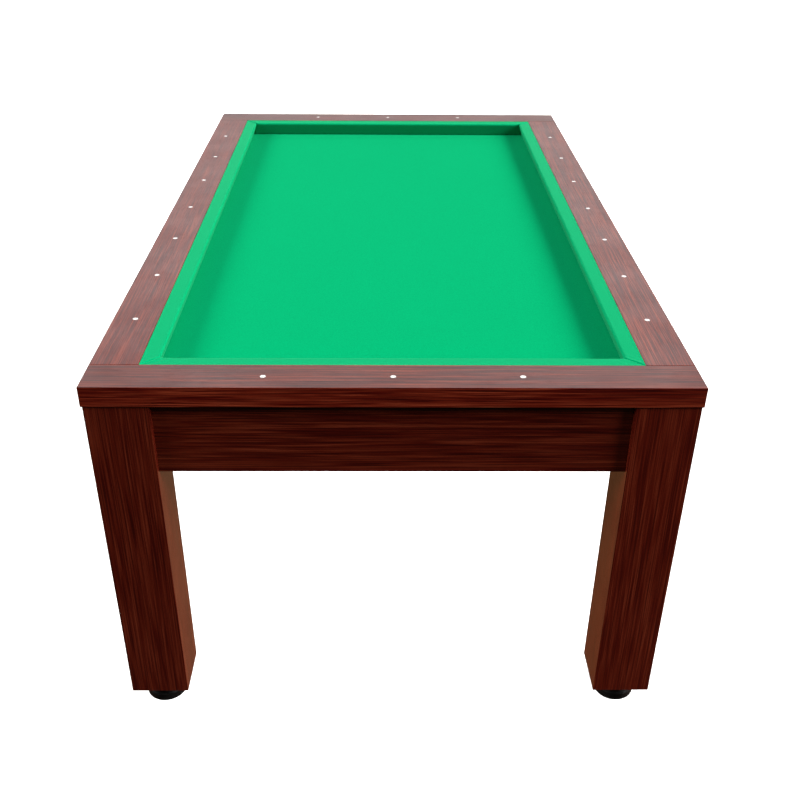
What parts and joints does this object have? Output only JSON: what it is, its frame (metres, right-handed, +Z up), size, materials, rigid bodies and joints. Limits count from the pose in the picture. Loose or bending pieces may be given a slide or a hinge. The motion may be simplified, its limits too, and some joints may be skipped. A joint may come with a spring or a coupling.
{
  "type": "carom billiard table",
  "caption": "Pocketless billiard table: cloth-covered bed and mitred cushions inside wood-grain rail boards with white sights, on square legs with aprons and screw levelling feet.",
  "frame": {"origin": "on the floor, under the middle of the table", "axes": "+X across the width to the right, +Y along the length from the front end to the back end, +Z up"},
  "size_m": [1.19, 2.13, 0.835],
  "materials": {
    "rail_board": "dark mahogany wood-grain melamine, satin",
    "apron_board": "dark mahogany wood-grain melamine, satin",
    "leg_board": "dark mahogany wood-grain melamine, satin",
    "timber": "planed pine",
    "mdf": "raw fibreboard",
    "bed_cloth": "woven wool cloth with a short nap",
    "cushion_cloth": "woven wool cloth with a short nap",
    "cushion_rubber": "matt",
    "sight_plastic": "polished white",
    "foot_plastic": "moulded black",
    "zinc_steel": "zinc plated",
    "screw_steel": "yellow zinc plated",
    "insert_steel": "bright zinc plated"
  },
  "bodies": {
    "table": {"apron_back": "apron_board", "apron_brackets": "zinc_steel", "apron_front": "apron_board", "apron_left": "apron_board", "apron_right": "apron_board", "bed_cloth": "bed_cloth", "bed_panel": "mdf", "bracket_screws": "zinc_steel", "cleat_screws": "screw_steel", "corner_plate_screws": "screw_steel", "cross_beam_back": "timber", "cross_beam_front": "timber", "cross_beam_middle": "timber", "cushion_batten_back": "timber", "cushion_batten_front": "timber", "cushion_batten_left": "timber", "cushion_batten_right": "timber", "cushion_cloth_back": "cushion_cloth", "cushion_cloth_front": "cushion_cloth", "cushion_cloth_left": "cushion_cloth", "cushion_cloth_right": "cushion_cloth", "cushion_rubber_back": "cushion_rubber", "cushion_rubber_front": "cushion_rubber", "cushion_rubber_left": "cushion_rubber", "cushion_rubber_right": "cushion_rubber", "end_cleats": "timber", "foot_inserts": "insert_steel", "foot_lock_nuts": "zinc_steel", "leg_back_left": "leg_board", "leg_back_right": "leg_board", "leg_bolts": "zinc_steel", "leg_bottom_block_back_left": "timber", "leg_bottom_block_back_right": "timber", "leg_bottom_block_front_left": "timber", "leg_bottom_block_front_right": "timber", "leg_front_left": "leg_board", "leg_front_right": "leg_board", "leg_top_block_back_left": "timber", "leg_top_block_back_right": "timber", "leg_top_block_front_left": "timber", "leg_top_block_front_right": "timber", "rail_back": "rail_board", "rail_bolts": "zinc_steel", "rail_corner_plates": "zinc_steel", "rail_front": "rail_board", "rail_inserts": "insert_steel", "rail_left": "rail_board", "rail_right": "rail_board", "rail_washers": "zinc_steel", "side_cleats": "timber", "sight_dots": "sight_plastic"},
    "pad_front_left": {"foot_pad_front_left": "foot_plastic"},
    "stem_front_left": {"foot_stem_front_left": "zinc_steel"},
    "pad_front_right": {"foot_pad_front_right": "foot_plastic"},
    "stem_front_right": {"foot_stem_front_right": "zinc_steel"},
    "pad_back_left": {"foot_pad_back_left": "foot_plastic"},
    "stem_back_left": {"foot_stem_back_left": "zinc_steel"},
    "pad_back_right": {"foot_pad_back_right": "foot_plastic"},
    "stem_back_right": {"foot_stem_back_right": "zinc_steel"}
  },
  "joints": [
    {"name": "foot_front_left_slide", "type": "slide", "parent": "table", "child": "pad_front_left", "axis": [0, 0, -1], "range_m": [0, 0.02]},
    {"name": "foot_front_left_turn", "type": "hinge", "parent": "pad_front_left", "child": "stem_front_left", "pos_m": [-0.5285, -0.9985, 0.06], "axis": [0, 0, -1], "range_deg": [0, 3600]},
    {"name": "foot_front_right_slide", "type": "slide", "parent": "table", "child": "pad_front_right", "axis": [0, 0, -1], "range_m": [0, 0.02]},
    {"name": "foot_front_right_turn", "type": "hinge", "parent": "pad_front_right", "child": "stem_front_right", "pos_m": [0.5285, -0.9985, 0.06], "axis": [0, 0, -1], "range_deg": [0, 3600]},
    {"name": "foot_back_left_slide", "type": "slide", "parent": "table", "child": "pad_back_left", "axis": [0, 0, -1], "range_m": [0, 0.02]},
    {"name": "foot_back_left_turn", "type": "hinge", "parent": "pad_back_left", "child": "stem_back_left", "pos_m": [-0.5285, 0.9985, 0.06], "axis": [0, 0, -1], "range_deg": [0, 3600]},
    {"name": "foot_back_right_slide", "type": "slide", "parent": "table", "child": "pad_back_right", "axis": [0, 0, -1], "range_m": [0, 0.02]},
    {"name": "foot_back_right_turn", "type": "hinge", "parent": "pad_back_right", "child": "stem_back_right", "pos_m": [0.5285, 0.9985, 0.06], "axis": [0, 0, -1], "range_deg": [0, 3600]}
  ],
  "couplings": [
    {"joint": "foot_front_left_turn", "follows": "foot_front_left_slide", "rad_per_m": 3141.6},
    {"joint": "foot_front_right_turn", "follows": "foot_front_right_slide", "rad_per_m": 3141.6},
    {"joint": "foot_back_left_turn", "follows": "foot_back_left_slide", "rad_per_m": 3141.6},
    {"joint": "foot_back_right_turn", "follows": "foot_back_right_slide", "rad_per_m": 3141.6}
  ]
}
